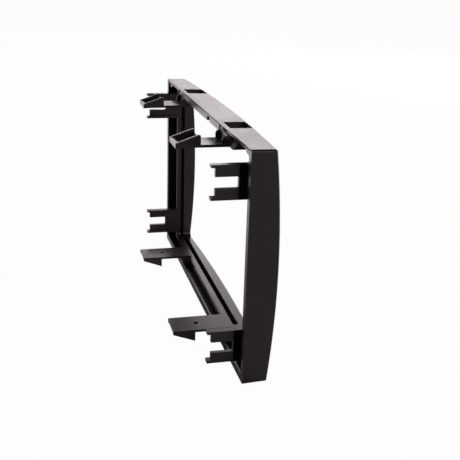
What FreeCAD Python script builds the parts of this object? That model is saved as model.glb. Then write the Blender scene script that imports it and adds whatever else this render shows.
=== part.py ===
import FreeCAD, Part
import math
import os
from FreeCAD import Vector

# Car radio mounting frame, moulded in one piece.
# X is the width, the bezel faces -Y and the mounting arms reach back along +Y, +Z is up.
# The origin is the centre of the radio opening, in the plane of the rear rim.
# Lengths are millimetres. A depth is measured forward from the rear rim, so y = -depth.

# Outline and crowned bezel
side_border = 10.0        # from the radio opening to the frame's side
rail_border = 4.0         # from the radio opening to the frame's top and bottom
side_draft_deg = 1.0
top_draft_deg = 1.0
bottom_draft_deg = 2.0
middle_depth = 14.5       # depth of the outer front edge half way along each side
corner_depth = 11.4       # depth of the same edge at the corners
rail_bevel_slope = 0.55   # how fast the bezel rises from the top and bottom edges to the lip
side_bevel_slope = 0.23   # the same from the side edges
outer_edge_round = 1.1    # corners of the skirt and the bezel's outer edge
edge_facet_angles = (22.5, 45.0, 67.5)

# Radio opening and the walls round it
opening_width = 182.0
opening_height = 100.0
opening_radius = 3.0
front_wall = 2.0
side_skirt_wall = 3.6
top_skirt_wall = 1.4
bottom_skirt_wall = 1.8
side_collar_wall = 2.0
collar_start_depth = 4.8
collar_rear_round = 1.2
pocket_radius = 1.0

# Groove for the radio's trim ring, along the bottom rail and up both sides of the opening
rail_groove_start_depth = 9.0
rail_groove_width = 2.8
rail_groove_cut = 2.4
side_groove_start_depth = 7.5
side_groove_width = 2.1
side_groove_cut = 1.4
groove_bridge_start = -59.0
groove_bridge_end = -48.2

# Rear edges of the bottom and top rails
rear_rim_thickness = 0.8
rear_rim_drop = 0.3
rail_notch_width = 3.0
rail_notch_depth = 0.6
rail_notch_height = 1.2
band_notch_x = -19.8
band_notch_width = 5.5
band_notch_height = 2.4
band_notch_depth = 0.9
rebate_drop = 0.5         # from the top of the frame to the fine rebate in its rear edge
rebate_height = 0.35
rebate_depth = 0.35

# Webs in the upper corners, just in front of the rear edge
web_reach = 8.4           # from the skirt's inside towards the middle
web_rise = 1.3            # height of the web's inner end over its foot
web_foot_drop = 0.8       # from the opening's upper face to the foot
web_end_height = 0.7
web_depth = 1.0
web_thickness = 1.6

# Stations of the hooks and tabs, one pair each side of the middle
arm_centre_x = 50.9
arm_width = 15.6

# Slots through the top rail over the hooks
top_slot_centre_x = 49.5
top_slot_width = 15.0
top_slot_start_depth = 2.0
top_slot_length = 11.0

# Barbed hooks on the top rail
hook_reach = 23.7
hook_plate_drop = 7.1     # from the top of the frame to the plate's upper face
hook_plate_thickness = 1.3
hook_root_depth = 5.2
hook_rib_thickness = 1.7
hook_rib_reach = 1.8
hook_rib_drop = 3.5
hook_rib_round = 1.7
hook_pad_depth = 0.4
barb_length = 10.9        # from the tip to the crest
barb_tip_drop = 6.3
barb_tip_height = 2.3
barb_crest_drop = 2.5
barb_wall = 1.6
tip_land = 0.9            # flat top of the tip, up to the trough
trough_length = 4.4
trough_sink = 1.0         # how far the trough's floor runs into the plate
latch_wall_thickness = 0.8
latch_gap = 2.0
latch_drop = 4.2
latch_fall = 0.4

# Guide blocks hanging from the top rail, outside the hooks
guide_centre_x = 67.5
guide_width = 6.5
guide_drop = 7.0
guide_slope_height = 1.8
guide_length = 7.0

# Tabs on the bottom rail
tab_reach = 23.9
tab_rise = 4.1            # from the opening's lower face to the plate's upper face
tab_plate_thickness = 1.3
tab_root_depth = 5.4
tab_rib_thickness = 1.7
tab_root_fillet = 1.5
tab_hole_diameter = 2.4
tab_hole_reach = 11.2
wedge_thickness = 1.4
wedge_length = 11.0
wedge_start_drop = 2.0
wedge_drop = 6.0

# Forks that hold the radio by its side screws
fork_inset = 3.9          # from the opening's upper or lower face to the fork's edge
fork_height = 15.5
fork_reach = 13.0
fork_slot_width = 5.1
fork_slot_reach = 2.8     # how far the slot's closed end stays behind the rear rim
fork_slot_round = 0.5
fork_flange_width = 1.5
fork_flange_thickness = 1.3
fork_flange_overhang = 1.8

# Worked out from the sizes above
half_opening_width = opening_width / 2
half_opening_height = opening_height / 2
half_width = half_opening_width + side_border
half_height = half_opening_height + rail_border
skirt_inner_x = half_width - side_skirt_wall
collar_outer_x = half_opening_width + side_collar_wall
arm_inner_x = arm_centre_x - arm_width / 2
arm_outer_x = arm_centre_x + arm_width / 2
fork_centre_z = half_opening_height - fork_inset - fork_height / 2
lip_depth = middle_depth + max(rail_bevel_slope * rail_border, side_bevel_slope * side_border)
clear = 1.0               # how far a cutting tool runs past the face that it leaves through
overlap = 0.5             # how far an added piece runs into the wall that it joins
facet_margin = 1.5        # how much steeper than the bevel an edge facet has to be
edge_tolerance = 0.01     # how close an edge has to lie to the place it is looked for


def box(x_low, x_high, depth_rear, depth_front, z_low, z_high):
    """Block between two depths; a negative depth lies behind the rear rim."""
    size = (x_high - x_low, depth_front - depth_rear, z_high - z_low)
    return Part.makeBox(size[0], size[1], size[2], Vector(x_low, -depth_front, z_low))


def prism_along_x(points, x_low, x_high):
    """Solid with a side profile of (depth, z) points, carried from x_low to x_high."""
    corners = [Vector(x_low, -depth, z) for depth, z in points]
    outline = Part.makePolygon(corners + corners[:1])
    return Part.Face(outline).extrude(Vector(x_high - x_low, 0, 0))


def rounded_outline(half_x, z_low, z_high, radius, depth):
    """Rectangle with four corner arcs, standing at the given depth."""
    side_x = half_x - radius
    reach = radius * math.sqrt(0.5)
    centres = [(side_x, z_high - radius, 1, 1), (side_x, z_low + radius, 1, -1),
               (-side_x, z_low + radius, -1, -1), (-side_x, z_high - radius, -1, 1)]
    starts = []
    ends = []
    edges = []
    for x, z, way_x, way_z in centres:
        level = Vector(x, -depth, z + way_z * radius)
        middle = Vector(x + way_x * reach, -depth, z + way_z * reach)
        upright = Vector(x + way_x * radius, -depth, z)
        start, end = (level, upright) if way_x == way_z else (upright, level)
        edges.append(Part.Arc(start, middle, end).toShape())
        starts.append(start)
        ends.append(end)
    for end, following in zip(ends, starts[1:] + starts[:1]):
        edges.append(Part.LineSegment(end, following).toShape())
    return Part.Wire(Part.__sortEdges__(edges))


def rounded_prism(half_x, z_low, z_high, radius, depth_rear, depth_front):
    outline = rounded_outline(half_x, z_low, z_high, radius, depth_rear)
    return Part.Face(outline).extrude(Vector(0, depth_rear - depth_front, 0))


def mirrored(shape):
    return shape.mirror(Vector(0, 0, 0), Vector(1, 0, 0))


def both_sides(shape):
    return [shape, mirrored(shape)]


def edges_where(shape, test):
    return [edge for edge in shape.Edges if test(edge)]


def crown_tool(half_length, reach, slope, along_z, drop=0.0):
    """Everything in front of one crowned bevel of the bezel.

    The outer edge is a parabola along the side, and the bevel rises from it
    in a straight line towards the middle of the frame. drop lowers the whole bevel.
    """
    end = half_length + clear
    end_depth = middle_depth - (middle_depth - corner_depth) * (end / half_length) ** 2
    peak_depth = 2 * middle_depth - end_depth
    start = reach + clear
    poles = []
    for place, depth in [(-end, end_depth), (0, peak_depth), (end, end_depth)]:
        y = drop + slope * clear - depth
        poles.append(Vector(start, y, place) if along_z else Vector(place, y, start))
    curve = Part.BezierCurve()
    curve.setPoles(poles)
    across = Vector(-start, 0, 0) if along_z else Vector(0, 0, -start)
    sheet = curve.toShape().extrude(across + Vector(0, -slope * start, 0))
    return sheet.extrude(Vector(0, -2 * lip_depth, 0))


def bevel_tools(half_length, reach, slope, along_z, draft_deg):
    """A crowned bevel, and the narrow facets that round its outer edge.

    A facet touches a circle of the edge's radius, at its own angle to the skirt.
    """
    inset = corner_depth * math.tan(math.radians(draft_deg))
    tools = [crown_tool(half_length, reach, slope, along_z)]
    for angle in [math.radians(degrees) for degrees in edge_facet_angles]:
        steepness = 1 / math.tan(angle)
        if steepness > facet_margin * slope:
            drop = outer_edge_round * (math.cos(angle) + math.sin(angle) - 1) / math.sin(angle)
            drop += (steepness - slope) * inset
            tools.append(crown_tool(half_length, reach, steepness, along_z, drop))
    return tools


def drafted_outline(depth):
    """The skirt's rectangle at a depth, drawn in by the mould's draft."""
    side_x = half_width - depth * math.tan(math.radians(side_draft_deg))
    high = half_height - depth * math.tan(math.radians(top_draft_deg))
    low = depth * math.tan(math.radians(bottom_draft_deg)) - half_height
    return rounded_outline(side_x, low, high, outer_edge_round, depth)


def crowned_block():
    """The frame's whole outside: a drafted block with a four-sided crowned front."""
    outlines = [drafted_outline(0), drafted_outline(lip_depth + 2 * clear)]
    block = Part.makeLoft(outlines, True, True)
    tools = bevel_tools(half_width, half_height, rail_bevel_slope, False, top_draft_deg)
    for tool in bevel_tools(half_width, half_height, rail_bevel_slope, False, bottom_draft_deg):
        tools.append(tool.mirror(Vector(0, 0, 0), Vector(0, 0, 1)))
    for tool in bevel_tools(half_height, half_width, side_bevel_slope, True, side_draft_deg):
        tools += both_sides(tool)
    for tool in tools:
        block = block.cut(tool)
    return block


def frame_shell(block):
    """Skirt, front wall, rails and side collars, hollow from the rear."""
    inner_low = bottom_skirt_wall - half_height
    inner_high = half_height - top_skirt_wall
    opening = rounded_prism(half_opening_width, -half_opening_height, half_opening_height,
                            opening_radius, -clear, 3 * lip_depth)
    rear_pocket = rounded_prism(skirt_inner_x, inner_low, inner_high, pocket_radius,
                                -clear, collar_start_depth)
    closed_band = box(-arm_outer_x, arm_outer_x, -2 * clear, 2 * collar_start_depth,
                      half_opening_height, half_height)
    behind_front_wall = block.copy()
    behind_front_wall.translate(Vector(0, front_wall, 0))
    channel = box(collar_outer_x, skirt_inner_x, -clear, 2 * lip_depth, inner_low, inner_high)
    shell = block.cut(opening).cut(rear_pocket.cut(closed_band))
    for side_channel in both_sides(channel):
        shell = shell.cut(side_channel.common(behind_front_wall))
    return shell


def collar_round_tools():
    """What a rounded rear edge takes off the collars, the corners and the bottom rail's strip.

    The round is a row of narrow facets, like the one on the bezel's outer edge.
    """
    radius = collar_rear_round
    corner_x = half_opening_width - opening_radius
    corner_z = half_opening_height - opening_radius
    outer_x = half_opening_width + radius
    rear_y = -collar_start_depth
    points = []
    for degrees in (0,) + edge_facet_angles + (90,):
        angle = math.radians(degrees)
        points.append(Vector(outer_x - radius * math.sin(angle),
                             rear_y - radius + radius * math.cos(angle), -corner_z))
    points.append(Vector(half_opening_width, rear_y + clear, -corner_z))
    points.append(Vector(outer_x, rear_y + clear, -corner_z))
    profile = Part.Face(Part.makePolygon(points + points[:1]))
    upright = profile.extrude(Vector(0, 0, 2 * corner_z))
    turn = profile.revolve(Vector(corner_x, 0, -corner_z), Vector(0, 1, 0), 90)
    profile.rotate(Vector(corner_x, 0, -corner_z), Vector(0, 1, 0), 90)
    level = profile.extrude(Vector(-2 * corner_x, 0, 0))
    upper_turn = turn.mirror(Vector(0, 0, 0), Vector(0, 0, 1))
    return [level] + both_sides(upright) + both_sides(turn) + both_sides(upper_turn)


def groove_tools():
    """Groove along the bottom rail, open but for one bridge, and a groove up each side."""
    side_x = half_opening_width - opening_radius
    floor_z = -half_opening_height - rail_groove_cut
    rail_front = rail_groove_start_depth + rail_groove_width
    pieces = [(-side_x, groove_bridge_start), (groove_bridge_end, side_x)]
    tools = [box(x_low, x_high, rail_groove_start_depth, rail_front, floor_z,
                 clear - half_opening_height) for x_low, x_high in pieces]
    side = box(half_opening_width - clear, half_opening_width + side_groove_cut,
               side_groove_start_depth, side_groove_start_depth + side_groove_width,
               -half_opening_height, half_opening_height)
    return tools + both_sides(side)


def bottom_rear_rim():
    """Thin upright rim that closes the rear of the bottom rail's pocket."""
    inner_low = bottom_skirt_wall - half_height
    return box(-skirt_inner_x, skirt_inner_x, 0, rear_rim_thickness, inner_low - overlap,
               -half_opening_height - rear_rim_drop)


def rail_notch():
    """Small notch in the rear edge of the bottom rail's strip, at the middle."""
    return box(-rail_notch_width / 2, rail_notch_width / 2, collar_start_depth - clear,
               collar_start_depth + rail_notch_depth, -half_opening_height - rail_notch_height,
               -half_opening_height + clear)


def band_notch():
    """Moulding gate notch in the closed band at the rear of the top rail."""
    return box(band_notch_x - band_notch_width / 2, band_notch_x + band_notch_width / 2,
               -clear, band_notch_depth, half_opening_height - clear,
               half_opening_height + band_notch_height)


def rear_rebates():
    """Fine rebate along the top rail's rear edge, between and outside the hooks."""
    high = half_height - rebate_drop
    end_x = half_width - overlap - outer_edge_round
    middle = box(-arm_inner_x, arm_inner_x, -clear, rebate_depth, high - rebate_height, high)
    outer = box(arm_outer_x, end_x, -clear, rebate_depth, high - rebate_height, high)
    return [middle] + both_sides(outer)


def pad_recess():
    """Shallow step that sets the top rail's rear face forward over a hook."""
    return box(arm_inner_x, arm_outer_x, -clear, hook_pad_depth, half_opening_height - clear,
               half_height - rebate_drop)


def corner_web():
    """Thin web across the upper corner behind the bezel, narrower towards the middle."""
    foot = half_opening_height - web_foot_drop
    inner_high = half_height - top_skirt_wall
    corners = [(skirt_inner_x + overlap, foot), (skirt_inner_x, foot),
               (skirt_inner_x - web_reach, foot + web_rise),
               (skirt_inner_x - web_reach, foot + web_rise + web_end_height),
               (skirt_inner_x - web_end_height, inner_high + overlap),
               (skirt_inner_x + overlap, inner_high + overlap)]
    points = [Vector(x, -web_depth, z) for x, z in corners]
    outline = Part.makePolygon(points + points[:1])
    return Part.Face(outline).extrude(Vector(0, -web_thickness, 0))


def top_slot():
    """Slot through the top rail over a hook, left by the tool that forms the barb."""
    return box(top_slot_centre_x - top_slot_width / 2, top_slot_centre_x + top_slot_width / 2,
               top_slot_start_depth, top_slot_start_depth + top_slot_length,
               half_opening_height - clear, half_height + clear)


def hook():
    """Barbed hook: a plate on two ribs, with a hollow wedge at its rear end."""
    plate_top = half_height - hook_plate_drop
    plate_low = plate_top - hook_plate_thickness
    tip_top = half_height - barb_tip_drop
    crest = half_height - barb_crest_drop
    crest_depth = barb_length - hook_reach
    latch_front = crest_depth + latch_wall_thickness
    trough_start = tip_land - hook_reach
    trough_end = trough_start + trough_length
    x_in = arm_inner_x
    x_out = arm_outer_x
    plate = box(x_in, x_out, -hook_reach, hook_root_depth, plate_low, plate_top)
    tip_block = prism_along_x([(-hook_reach, tip_top - barb_tip_height), (-hook_reach, tip_top),
                               (trough_start, tip_top), (trough_end, plate_top - trough_sink),
                               (trough_end, plate_low)], x_in, x_out)
    side = [(-hook_reach, plate_low), (-hook_reach, tip_top), (crest_depth, crest),
            (latch_front, crest - latch_fall), (latch_front, plate_low)]
    walls = [prism_along_x(side, x_in, x_in + barb_wall),
             prism_along_x(side, x_out - barb_wall, x_out)]
    latch = box(x_in, x_out, crest_depth, latch_front, plate_low, half_height - latch_drop)
    gap = box(arm_centre_x - latch_gap / 2, arm_centre_x + latch_gap / 2,
              crest_depth - clear, latch_front + clear, plate_top, half_height)
    pad = box(x_in, x_out, hook_pad_depth, hook_root_depth, plate_low, half_opening_height)
    body = plate.multiFuse([tip_block, latch.cut(gap), pad] + walls)
    ribs = [hook_rib(x_in), hook_rib(x_out - hook_rib_thickness)]
    return body.multiFuse(ribs)


def hook_rib(x_low):
    """Upright rib at one edge of a hook's root, with a rounded upper rear corner."""
    plate_low = half_height - hook_plate_drop - hook_plate_thickness
    top = half_height - hook_rib_drop
    rib = box(x_low, x_low + hook_rib_thickness, -hook_rib_reach, hook_root_depth,
              plate_low, top)

    def at_rear_top(edge):
        box_of = edge.BoundBox
        at_rear = abs(box_of.YMin - hook_rib_reach) < edge_tolerance
        return at_rear and abs(box_of.ZMin - top) < edge_tolerance

    return rib.makeFillet(hook_rib_round, edges_where(rib, at_rear_top))


def guide_block():
    """Block that hangs below the top rail, with a slope that leads the radio in."""
    low = half_height - guide_drop
    x_low = guide_centre_x - guide_width / 2
    high = half_opening_height + overlap
    profile = [(guide_slope_height, low + guide_slope_height), (0, low), (guide_length, low),
               (guide_length, high), (guide_slope_height, high)]
    return prism_along_x(profile, x_low, x_low + guide_width)


def tab():
    """Screw tab on the bottom rail: a plate, its root, and two wedge flanges below it."""
    plate_top = tab_rise - half_opening_height
    plate_low = plate_top - tab_plate_thickness
    x_in = arm_inner_x
    x_out = arm_outer_x
    plate = box(x_in, x_out, -tab_reach, tab_root_depth, plate_low, plate_top)
    root_low = bottom_skirt_wall - half_height - overlap
    wedge_end = wedge_length - tab_reach
    hole = Part.makeCylinder(tab_hole_diameter / 2, tab_plate_thickness + 2 * clear,
                             Vector(arm_centre_x, tab_hole_reach, plate_low - clear))
    root = box(x_in, x_out, collar_start_depth, tab_root_depth, root_low, plate_top)
    wedge = [(-tab_reach, plate_top), (-tab_reach, plate_top - wedge_start_drop),
             (wedge_end, plate_top - wedge_drop), (wedge_end, plate_top)]
    flanges = [prism_along_x(wedge, x_in, x_in + wedge_thickness),
               prism_along_x(wedge, x_out - wedge_thickness, x_out)]
    ribs = [tab_rib(x_in), tab_rib(x_out - tab_rib_thickness)]
    return plate.multiFuse([root] + flanges + ribs).cut(hole)


def tab_rib(x_low):
    """Root rib under one edge of a tab, with a hollow round towards the plate."""
    plate_low = tab_rise - half_opening_height - tab_plate_thickness
    radius = tab_root_fillet
    root_low = bottom_skirt_wall - half_height - overlap
    rib = box(x_low, x_low + tab_rib_thickness, -radius, collar_start_depth, root_low, plate_low)
    scoop = Part.makeCylinder(radius, tab_rib_thickness, Vector(x_low, radius, plate_low - radius),
                              Vector(1, 0, 0))
    lower = box(x_low, x_low + tab_rib_thickness, -radius, 0, -half_height, plate_low - radius)
    return rib.cut(scoop).cut(lower)


def fork():
    """Upper fork: the side collar carried back, slotted, with a flange on each outer edge."""
    low = fork_centre_z - fork_height / 2
    high = fork_centre_z + fork_height / 2
    root_depth = collar_start_depth + collar_rear_round + overlap
    web = box(half_opening_width, collar_outer_x, -fork_reach, root_depth, low, high)
    slot_low = fork_centre_z - fork_slot_width / 2
    slot = box(half_opening_width - clear, collar_outer_x + clear, -fork_reach - clear,
               -fork_slot_reach, slot_low, slot_low + fork_slot_width)

    def at_closed_end(edge):
        box_of = edge.BoundBox
        at_end = abs(box_of.YMax - fork_slot_reach) < edge_tolerance
        return at_end and box_of.XLength > side_collar_wall

    slot = slot.makeFillet(fork_slot_round, edges_where(slot, at_closed_end))
    flange_x = half_opening_width - fork_flange_width
    pieces = [web.cut(slot)]
    for z in (low, high - fork_flange_thickness):
        pieces.append(box(flange_x, collar_outer_x, -fork_reach - fork_flange_overhang,
                          collar_start_depth, z, z + fork_flange_thickness))
    return pieces[0].multiFuse(pieces[1:])


def mounting_frame():
    shell = frame_shell(crowned_block())
    for tool in collar_round_tools():
        shell = shell.cut(tool)
    upper_fork = fork()
    lower_fork = upper_fork.mirror(Vector(0, 0, 0), Vector(0, 0, 1))
    added = [bottom_rear_rim()]
    for piece in (hook(), guide_block(), tab(), corner_web(), upper_fork, lower_fork):
        added += both_sides(piece)
    body = shell.multiFuse(added)
    tools = groove_tools() + rear_rebates() + [rail_notch(), band_notch()]
    tools += both_sides(top_slot()) + both_sides(pad_recess())
    for tool in tools:
        body = body.cut(tool)
    return body.removeSplitter()


os.makedirs("parts", exist_ok=True)
mounting_frame().exportStep("parts/mounting_frame.step")
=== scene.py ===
"""Finish and studio for the car radio mounting frame, laid out as a Blender add-on."""
import math

import bmesh
import bpy
import numpy as np
from bpy.props import FloatProperty, FloatVectorProperty, PointerProperty
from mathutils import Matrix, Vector


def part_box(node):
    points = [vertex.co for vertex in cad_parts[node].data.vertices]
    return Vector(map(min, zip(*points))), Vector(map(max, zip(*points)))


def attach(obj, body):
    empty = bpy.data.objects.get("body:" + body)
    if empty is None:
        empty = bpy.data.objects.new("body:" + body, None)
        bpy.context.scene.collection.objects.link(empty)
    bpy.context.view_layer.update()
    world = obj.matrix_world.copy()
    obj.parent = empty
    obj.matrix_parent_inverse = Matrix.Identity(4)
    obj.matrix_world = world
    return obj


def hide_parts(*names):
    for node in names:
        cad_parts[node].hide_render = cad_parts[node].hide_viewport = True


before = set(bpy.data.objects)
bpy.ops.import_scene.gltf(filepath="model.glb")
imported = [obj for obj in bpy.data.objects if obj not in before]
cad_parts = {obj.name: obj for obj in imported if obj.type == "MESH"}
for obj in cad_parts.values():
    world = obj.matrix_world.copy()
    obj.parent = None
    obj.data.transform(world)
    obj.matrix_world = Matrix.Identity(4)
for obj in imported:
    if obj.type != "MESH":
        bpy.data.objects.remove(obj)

bl_info = {
    "name": "Car Radio Mounting Frame",
    "version": (1, 0, 0),
    "blender": (4, 5, 0),
    "location": "View3D > Sidebar > Radio Frame",
    "description": "Finishes the moulded frame of a car radio and lights it in a plain studio",
    "category": "Object",
}

NODE = "mounting_frame"
MM = 0.001

MERGE_DISTANCE = 0.003 * MM          # corners closer than this are one corner
FLAT_ANGLE = math.radians(0.4)       # faces that meet flatter than this are one face
SHARP_ANGLE = math.radians(40)       # edges sharper than this are rounded
LEAST_ROUND = 0.03 * MM              # edges with room for less than this stay sharp

LAMP_DISTANCE = 1.5                  # metres from the middle of the frame
CAMERA_PLACE = (-0.40326, 0.0867, 0.12648)
CAMERA_TURN = (71.184, -1.762, -103.99)
FLOOR_SPOKES = 64
FLOOR_RADII = (0.0, 0.5, 1.5, 4.0, 9.0)
WHITE_SHARE = 0.97                   # the rest of what the camera sees is the lit floor
GLOW_EDGE = 0.3                      # the glow grows to full over this many metres
GLOW_IN_FRONT = 0.65                 # part of the glow that the floor has towards -Y

# Recesses where a darker, duller plastic paints the shade of the deep grooves, pockets and
# channels and the skirt's shadow on the roots of the side forks, in millimetres: |x|, y, |z|
# and z, each from low to high.
SHADED_RECESSES = (
    ((0, 97.35), (-4.75, -0.85), (50.35, 52.3), (-52.3, 0)),      # pocket of the bottom rail
    ((0, 91), (-11.75, -9.05), (50.05, 52.5), (-52.5, 0)),        # groove of the bottom rail
    ((91.05, 92.5), (-9.55, -7.55), (0, 50), (-50, 50)),          # grooves up the sides
    ((92.95, 97.45), (-15, -0.05), (0, 49), (-49, 49)),           # channels behind the bezel
    ((92.95, 93.1), (-5, 2.6), (30, 46.5), (-46.5, 46.5)),        # roots of the side forks
    ((58.75, 89), (-4.75, -0.05), (50.05, 52.55), (0, 52.55)),    # pockets of the top rail
)

# Lamps: name, power in watts, turn from +X towards +Y in degrees, height and size in metres.
LAMPS = (
    ("far_panel", 1.4, -17, 0.42, (0.46, 0.18)),
    ("far_panel_soft", 0.75, -17, 0.44, (0.46, 0.54)),
    ("high_panel", 1.4, 0, 0.60, (0.46, 0.22)),
    ("side_panel", 4.0, -33, 0.44, (0.46, 0.54)),
    ("key_panel", 5.5, -50, 0.40, (0.46, 0.64)),
    ("rear_high_panel", 1.6, 32, 0.60, (0.46, 0.22)),
    ("rear_side_panel", 2.6, 60, 0.52, (0.46, 0.36)),
    ("front_lamp", 8.0, -60, 0.75, (0.9, 0.7)),
    ("fill_lamp", 6.3, 210, 0.56, (0.9, 0.7)),
    ("rear_panel", 5.0, 90, 0.26, (0.9, 0.4)),
)


class Value:
    """A shader socket that takes part in Python arithmetic; each operation adds a Math node."""

    def __init__(self, tree, socket):
        self.tree = tree
        self.socket = socket

    def math(self, operation, *others, first=None):
        node = self.tree.nodes.new("ShaderNodeMath")
        node.operation = operation
        terms = [self if first is None else first] + list(others)
        for socket, term in zip(node.inputs, terms):
            if isinstance(term, Value):
                self.tree.links.new(term.socket, socket)
            else:
                socket.default_value = term
        return Value(self.tree, node.outputs[0])

    def __add__(self, other):
        return self.math("ADD", other)

    __radd__ = __add__

    def __sub__(self, other):
        return self.math("SUBTRACT", other)

    def __rsub__(self, other):
        return self.math("SUBTRACT", self, first=other)

    def __mul__(self, other):
        return self.math("MULTIPLY", other)

    __rmul__ = __mul__


class Shader:
    """A material or world node tree, and one method that adds any node to it."""

    def __init__(self, owner):
        owner.use_nodes = True
        self.tree = owner.node_tree
        self.tree.nodes.clear()

    def node(self, kind, settings=None, output=0, **sockets):
        """Adds a node: its settings first, then a value or link for each named socket."""
        node = self.tree.nodes.new("ShaderNode" + kind)
        for name, value in (settings or {}).items():
            setattr(node, name, value)
        for name, value in sockets.items():
            socket = node.inputs[name.replace("_", " ")]
            if isinstance(value, Value):
                self.tree.links.new(value.socket, socket)
            else:
                socket.default_value = value
        return Value(self.tree, node.outputs[output]) if node.outputs else None

    def mix(self, first, second, factor):
        """Mixes two surfaces: all of the first where the factor is 0."""
        mixed = self.node("MixShader", Fac=factor)
        self.tree.links.new(first.socket, mixed.socket.node.inputs[1])
        self.tree.links.new(second.socket, mixed.socket.node.inputs[2])
        return mixed

    def axes(self, place):
        """The X, Y and Z of a place."""
        outputs = self.node("SeparateXYZ", Vector=place).socket.node.outputs
        return [Value(self.tree, socket) for socket in outputs]


class PlasticSettings(bpy.types.PropertyGroup):
    colour: FloatVectorProperty(
        name="Plastic colour", description="Base colour of the moulded plastic",
        subtype="COLOR", min=0, max=1, default=(0.0140, 0.0095, 0.0100))
    roughness: FloatProperty(
        name="Roughness", description="Mean roughness of the satin surface",
        min=0.05, max=1, default=0.32)
    roughness_change: FloatProperty(
        name="Roughness change", description="How much the gloss wanders over the moulding",
        min=0, max=0.5, default=0.05)
    grain_size: FloatProperty(
        name="Grain size", description="Spacing of the fine spark-eroded grain",
        subtype="DISTANCE", unit="LENGTH", min=0.0001, default=0.45 * MM)
    grain_depth: FloatProperty(
        name="Grain depth", description="Depth of the fine grain",
        subtype="DISTANCE", unit="LENGTH", min=0, default=0.012 * MM)
    edge_radius: FloatProperty(
        name="Edge radius", description="Small round on the moulding's crisp edges",
        subtype="DISTANCE", unit="LENGTH", min=0, default=0.3 * MM)


class StudioSettings(bpy.types.PropertyGroup):
    floor_colour: FloatVectorProperty(
        name="Floor colour", description="Colour of the pale studio floor",
        subtype="COLOR", min=0, max=1, default=(0.90, 0.90, 0.90))
    light_colour: FloatVectorProperty(
        name="Light colour", description="Colour of the lamps and of the floor's mirrored glow",
        subtype="COLOR", min=0, max=1, default=(1.0, 0.925, 0.965))
    world_strength: FloatProperty(
        name="Room light", description="Strength of the even light from all round",
        min=0, default=0.01)
    floor_glow: FloatProperty(
        name="Floor glow", description="Brightness of the floor as the plastic mirrors it",
        min=0, default=2.0)
    lamp_share: FloatProperty(
        name="Lamp share", description="Scales the power of all lamps alike",
        min=0, default=1.0)
    lens: FloatProperty(
        name="Lens", description="Focal length of the camera for a 36 mm sensor",
        min=10, default=61.82)


def painted_shade_mask(shader, place):
    """1 in the narrow recesses whose shade is painted, 0 on the rest of the moulding."""
    x, y, z = shader.axes(place)
    places = (x.math("ABSOLUTE"), y, z.math("ABSOLUTE"), z)
    mask = None
    for ranges in SHADED_RECESSES:
        inside = None
        for value, (low, high) in zip(places, ranges):
            near = value.math("COMPARE", (low + high) / 2 * MM, (high - low) / 2 * MM)
            inside = near if inside is None else inside * near
        mask = inside if mask is None else mask.math("MAXIMUM", inside)
    return mask


def plastic(settings):
    """Black moulded plastic: fine grain, slow changes of gloss, faint flow streaks, and
    painted shade in the recesses. There a second, darker and duller plastic is mixed in by
    where they lie; it paints the shade that falls in the grooves, pockets and channels."""
    material = bpy.data.materials.new("satin_black_plastic")
    shader = Shader(material)
    place = shader.node("TexCoord", output=3)
    cloud = shader.node("TexNoise", Vector=place, Scale=45.0, Detail=3.0, Roughness=0.6)
    stretched = shader.node("Mapping", Vector=place, Scale=(14.0, 160.0, 160.0))
    streak = shader.node("TexNoise", Vector=stretched, Scale=1.0, Detail=2.0, Roughness=0.5)
    grain = shader.node("TexNoise", Vector=place, Scale=1 / settings.grain_size, Detail=2.0,
                        Roughness=0.7)
    wander = cloud * 0.6 + streak * 0.4 - 0.5
    gloss = wander * (4 * settings.roughness_change) + settings.roughness
    dark = tuple(settings.colour) + (1.0,)
    light = tuple(1.5 * c for c in settings.colour) + (1.0,)
    colour = shader.node("MixRGB", {"blend_type": "MIX"}, Fac=cloud, Color1=dark, Color2=light)
    bump = shader.node("Bump", Strength=0.6, Distance=settings.grain_depth, Height=grain)
    satin = shader.node("BsdfPrincipled", Base_Color=colour, Roughness=gloss, Normal=bump,
                        IOR=1.5, Specular_IOR_Level=0.5)
    # Painted shade: the recesses get a fifth of the plastic's colour and a weaker sheen, which
    # stands in for the shade that falls in them.
    painted_shade_colour = tuple(0.2 * c for c in settings.colour) + (1.0,)
    matte = shader.node("BsdfPrincipled", Base_Color=painted_shade_colour, Roughness=0.75, Normal=bump,
                        IOR=1.5, Specular_IOR_Level=0.12)
    mixed = shader.mix(satin, matte, painted_shade_mask(shader, place))
    shader.node("OutputMaterial", Surface=mixed)
    return material


def way_out(edge, vert):
    """Unit direction of an edge as it leaves one of its two vertices."""
    return (edge.other_vert(vert).co - vert.co).normalized()


def edge_widths(work, full):
    """How wide each sharp edge may be rounded, so that no round meets another.

    At each end of the edge, the round slides along the other edges that meet there. It may
    take two fifths of a neighbour that is rounded too, and four fifths of one that is not.
    Edges that run on in a line form a chain, and the tightest place sets the whole chain.
    """
    sharp = {e.index: e for e in work.edges if e.calc_face_angle(0) > SHARP_ANGLE}
    leader = {index: index for index in sharp}

    def lead(index):
        while leader[index] != index:
            index = leader[index]
        return index

    room = {}
    for index, edge in sharp.items():
        room[index] = full
        for vert in edge.verts:
            way = way_out(edge, vert)
            for other in vert.link_edges:
                if other is edge:
                    continue
                cosine = way.dot(way_out(other, vert))
                if cosine < -0.9:
                    if other.index in sharp:
                        leader[lead(other.index)] = lead(index)
                    continue
                share = 0.4 if other.index in sharp else 0.8
                sine = math.sqrt(max(0.0, 1 - cosine * cosine))
                room[index] = min(room[index], share * other.calc_length() * sine)
    tightest = {}
    for index in sharp:
        chain = lead(index)
        tightest[chain] = min(tightest.get(chain, full), room[index])
    return {index: tightest[lead(index)] for index in sharp}


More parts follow.
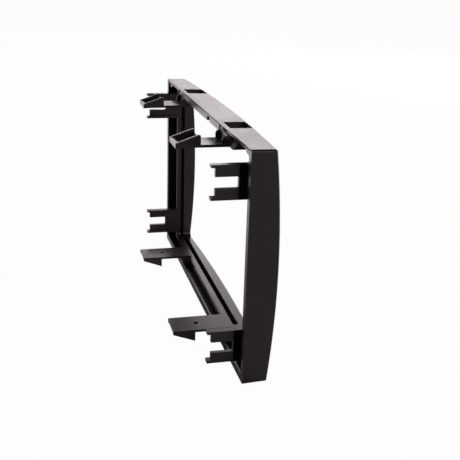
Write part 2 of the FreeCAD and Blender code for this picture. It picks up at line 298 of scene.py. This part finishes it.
def block_mesh(name, boxes):
    """Closed blocks, each from its low corner to its high corner, facing outwards."""
    corners = np.array([(x, y, z) for x in (0, 1) for y in (0, 1) for z in (0, 1)])
    sides = [(0, 1, 3, 2), (4, 6, 7, 5), (0, 4, 5, 1), (2, 3, 7, 6), (0, 2, 6, 4), (1, 5, 7, 3)]
    points = []
    faces = []
    for low, high in boxes:
        faces += [tuple(len(points) + index for index in side) for side in sides]
        points += (low + corners * (np.array(high) - low)).tolist()
    mesh = bpy.data.meshes.new(name)
    mesh.from_pydata(points, [], faces)
    return mesh


def joined_with(mesh, boxes):
    """The mesh with blocks run into it, as one closed skin."""
    host = bpy.data.objects.new("host", mesh)
    fill = bpy.data.objects.new("fill", block_mesh("fill", boxes))
    for item in (host, fill):
        bpy.context.collection.objects.link(item)
    union = host.modifiers.new("union", "BOOLEAN")
    union.operation = "UNION"
    union.solver = "EXACT"
    union.object = fill
    depsgraph = bpy.context.evaluated_depsgraph_get()
    joined = bpy.data.meshes.new_from_object(host.evaluated_get(depsgraph))
    bpy.data.objects.remove(host)
    bpy.data.objects.remove(fill)
    return joined


def hook_rib_backs():
    """Blocks that carry the hooks' four root ribs into the rail up to their full height."""
    boxes = []
    for low_x, high_x in ((43.1, 44.8), (57.0, 58.7)):
        for ends in ((low_x, high_x), (-high_x, -low_x)):
            low = np.array((ends[0] + 0.01, -0.5, 48.9)) * MM
            high = np.array((ends[1] - 0.01, 1.1, 50.5)) * MM
            boxes.append((low, high))
    return boxes


def softened_copy(node_name, piece_name, radius):
    """A copy of a CAD node with its triangles joined and its crisp edges rounded off."""
    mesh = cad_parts[node_name].data.copy()
    work = bmesh.new()
    work.from_mesh(mesh)
    bmesh.ops.remove_doubles(work, verts=work.verts, dist=MERGE_DISTANCE)
    work.to_mesh(mesh)
    work.clear()
    work.from_mesh(joined_with(mesh, hook_rib_backs()))
    bmesh.ops.remove_doubles(work, verts=work.verts, dist=MERGE_DISTANCE)
    bmesh.ops.dissolve_limit(work, angle_limit=FLAT_ANGLE, verts=work.verts, edges=work.edges)
    work.edges.index_update()
    work.edges.ensure_lookup_table()
    widths = edge_widths(work, radius)
    weight = work.edges.layers.float.new("bevel_weight_edge")
    for index, width in widths.items():
        work.edges[index][weight] = width / radius if width > LEAST_ROUND else 0.0
    mesh = bpy.data.meshes.new(piece_name)
    work.to_mesh(mesh)
    work.free()
    mesh.shade_smooth()
    piece = bpy.data.objects.new(piece_name, mesh)
    bpy.context.collection.objects.link(piece)
    rounds = piece.modifiers.new("edge_rounds", "BEVEL")
    rounds.limit_method = "WEIGHT"
    rounds.width = radius
    rounds.segments = 2
    rounds.use_clamp_overlap = True
    level = piece.modifiers.new("level_faces", "WEIGHTED_NORMAL")
    level.weight = 80
    return piece


class RADIOFRAME_OT_moulding(bpy.types.Operator):
    """Give the moulding its softened edges and its satin plastic"""
    bl_idname = "radioframe.moulding"
    bl_label = "Finish the moulding"

    def execute(self, context):
        settings = context.scene.radioframe_plastic
        piece = softened_copy(NODE, "moulding", settings.edge_radius)
        piece.data.materials.append(plastic(settings))
        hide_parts(NODE)
        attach(piece, "root")
        return {"FINISHED"}


def area_lamp(name, place, aim, size, power, colour):
    data = bpy.data.lights.new(name, "AREA")
    data.shape = "RECTANGLE"
    data.size, data.size_y = size
    data.energy = power
    data.color = colour
    lamp = bpy.data.objects.new(name, data)
    lamp.location = place
    lamp.rotation_euler = (Vector(aim) - Vector(place)).to_track_quat("-Z", "Y").to_euler()
    bpy.context.collection.objects.link(lamp)


def around(middle, turn, height):
    """A lamp's place, turned about the middle from +X towards +Y, at a height in metres."""
    turn = math.radians(turn)
    across = LAMP_DISTANCE * math.cos(turn)
    along = LAMP_DISTANCE * math.sin(turn)
    return Vector((middle.x + across, middle.y + along, height))


def white_to_the_eye(shader):
    """1 for the rays that the camera sends out, 0 for the rays that light the object."""
    return shader.node("LightPath", output=0)


def studio_world(settings):
    world = bpy.data.worlds.new("studio")
    bpy.context.scene.world = world
    shader = Shader(world)
    eye = white_to_the_eye(shader)
    strength = eye * (1 - settings.world_strength) + settings.world_strength
    back = shader.node("Background", Color=(1, 1, 1, 1), Strength=strength)
    shader.node("OutputWorld", Surface=back)


def studio_floor(settings, level):
    """Flat floor, a disc of rings whose radius grows outwards, at the height it is given."""
    angle = np.linspace(0, 2 * math.pi, FLOOR_SPOKES, endpoint=False)
    ring = np.stack([np.cos(angle), np.sin(angle), np.zeros(FLOOR_SPOKES)], axis=1)
    points = [np.zeros((1, 3))] + [ring * radius for radius in FLOOR_RADII[1:]]
    points = np.concatenate(points) + (0, 0, level)
    step = np.arange(FLOOR_SPOKES)
    turn = (step + 1) % FLOOR_SPOKES
    faces = [(0, 1 + a, 1 + b) for a, b in zip(step, turn)]
    for index in range(len(FLOOR_RADII) - 2):
        low = 1 + index * FLOOR_SPOKES
        high = low + FLOOR_SPOKES
        faces += [(low + a, high + a, high + b, low + b) for a, b in zip(step, turn)]
    mesh = bpy.data.meshes.new("floor")
    mesh.from_pydata(points.tolist(), [], [tuple(int(i) for i in face) for face in faces])
    floor = bpy.data.objects.new("floor", mesh)
    bpy.context.collection.objects.link(floor)
    material = bpy.data.materials.new("pale_floor")
    shader = Shader(material)
    colour = tuple(settings.floor_colour) + (1.0,)
    matte = shader.node("BsdfDiffuse", Color=colour)
    white = shader.node("Emission", Color=(1, 1, 1, 1), Strength=1.0)
    glow = shader.node("Emission", Color=tuple(settings.light_colour) + (1.0,),
                       Strength=settings.floor_glow)
    x, y, z = shader.axes(shader.node("TexCoord", output=3))
    beyond, behind = [shader.node("MapRange", Value=value, From_Min=0.0, From_Max=GLOW_EDGE)
                      for value in (x, y)]
    seen = shader.mix(matte, white, white_to_the_eye(shader) * WHITE_SHARE)
    share = behind * (1 - GLOW_IN_FRONT) + GLOW_IN_FRONT
    mirrored = shader.node("LightPath", output=3) * beyond * share
    mixed = shader.mix(seen, glow, mirrored)
    shader.node("OutputMaterial", Surface=mixed)
    mesh.materials.append(material)


class RADIOFRAME_OT_studio(bpy.types.Operator):
    """Set up the floor, the lights and the camera"""
    bl_idname = "radioframe.studio"
    bl_label = "Set up the studio"

    def execute(self, context):
        settings = context.scene.radioframe_studio
        low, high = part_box(NODE)
        studio_world(settings)
        studio_floor(settings, low.z)
        middle = (low + high) / 2
        for name, power, turn, height, size in LAMPS:
            place = around(middle, turn, height)
            area_lamp(name, place, (0, 0, height), size, power * settings.lamp_share,
                      settings.light_colour)
        data = bpy.data.cameras.new("camera")
        data.sensor_width = 36
        data.lens = settings.lens
        camera = bpy.data.objects.new("camera", data)
        camera.location = CAMERA_PLACE
        camera.rotation_euler = [math.radians(turn) for turn in CAMERA_TURN]
        context.collection.objects.link(camera)
        context.scene.camera = camera
        context.scene.view_settings.view_transform = "Standard"
        return {"FINISHED"}


class RADIOFRAME_PT_panel(bpy.types.Panel):
    """Lists the steps that dress the frame"""
    bl_idname = "RADIOFRAME_PT_panel"
    bl_label = "Radio Frame"
    bl_space_type = "VIEW_3D"
    bl_region_type = "UI"
    bl_category = "Radio Frame"

    def draw(self, context):
        layout = self.layout
        for group in (context.scene.radioframe_plastic, context.scene.radioframe_studio):
            for name in group.__annotations__:
                layout.prop(group, name)
        for step in STEPS:
            layout.operator(step.bl_idname)


STEPS = (RADIOFRAME_OT_moulding, RADIOFRAME_OT_studio)
CLASSES = (PlasticSettings, StudioSettings) + STEPS + (RADIOFRAME_PT_panel,)


def register():
    for item in CLASSES:
        bpy.utils.register_class(item)
    bpy.types.Scene.radioframe_plastic = PointerProperty(type=PlasticSettings)
    bpy.types.Scene.radioframe_studio = PointerProperty(type=StudioSettings)


def unregister():
    del bpy.types.Scene.radioframe_studio
    del bpy.types.Scene.radioframe_plastic
    for item in reversed(CLASSES):
        bpy.utils.unregister_class(item)


def main():
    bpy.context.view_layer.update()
    register()
    bpy.ops.radioframe.moulding()
    bpy.ops.radioframe.studio()


if __name__ == "__main__":
    main()
